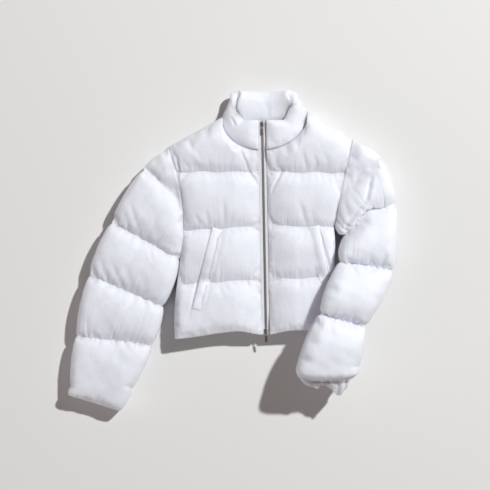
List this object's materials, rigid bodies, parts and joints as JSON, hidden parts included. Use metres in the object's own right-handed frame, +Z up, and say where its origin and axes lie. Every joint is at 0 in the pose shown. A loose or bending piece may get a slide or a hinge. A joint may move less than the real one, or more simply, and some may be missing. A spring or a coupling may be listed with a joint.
{
  "type": "puffer jacket",
  "caption": "Cropped quilted puffer jacket laid flat, zipped up with a stand collar, slanted welt pockets and one sleeve folded over the front.",
  "frame": {"origin": "on the flat underside of the back, in the middle of the filled channel below the waist line, on the zip's line", "axes": "+X towards the wearer's left, +Y towards the collar, +Z up from the surface that the jacket lies on"},
  "size_m": [0.7816, 0.7706, 0.1555],
  "materials": {
    "shell": "white woven nylon with a soft sheen, padded with down",
    "zip_tape": "white twill tape",
    "zip_metal": "dull nickel"
  },
  "bodies": {
    "jacket": {"back": "shell", "front_left": "shell", "front_right": "shell", "sleeve_left": "shell", "sleeve_right": "shell", "collar": "shell", "pocket_welt_left": "shell", "pocket_welt_right": "shell", "zip_tape_left": "zip_tape", "zip_tape_right": "zip_tape", "zip_teeth": "zip_metal", "slider_top": "zip_metal", "slider_bottom": "zip_metal"},
    "pull_top": {"pull_top": "zip_metal"},
    "pull_bottom": {"pull_bottom": "zip_metal"}
  },
  "joints": [
    {"name": "pull_top_lift", "type": "hinge", "parent": "jacket", "child": "pull_top", "pos_m": [-0.0046, 0.306, 0.0623], "axis": [-0.9998, -0.0186, 0], "range_deg": [0, 165]},
    {"name": "pull_bottom_lift", "type": "hinge", "parent": "jacket", "child": "pull_bottom", "pos_m": [0.0047, -0.1925, 0.0488], "axis": [-0.9998, -0.0186, 0], "range_deg": [0, 160]}
  ]
}
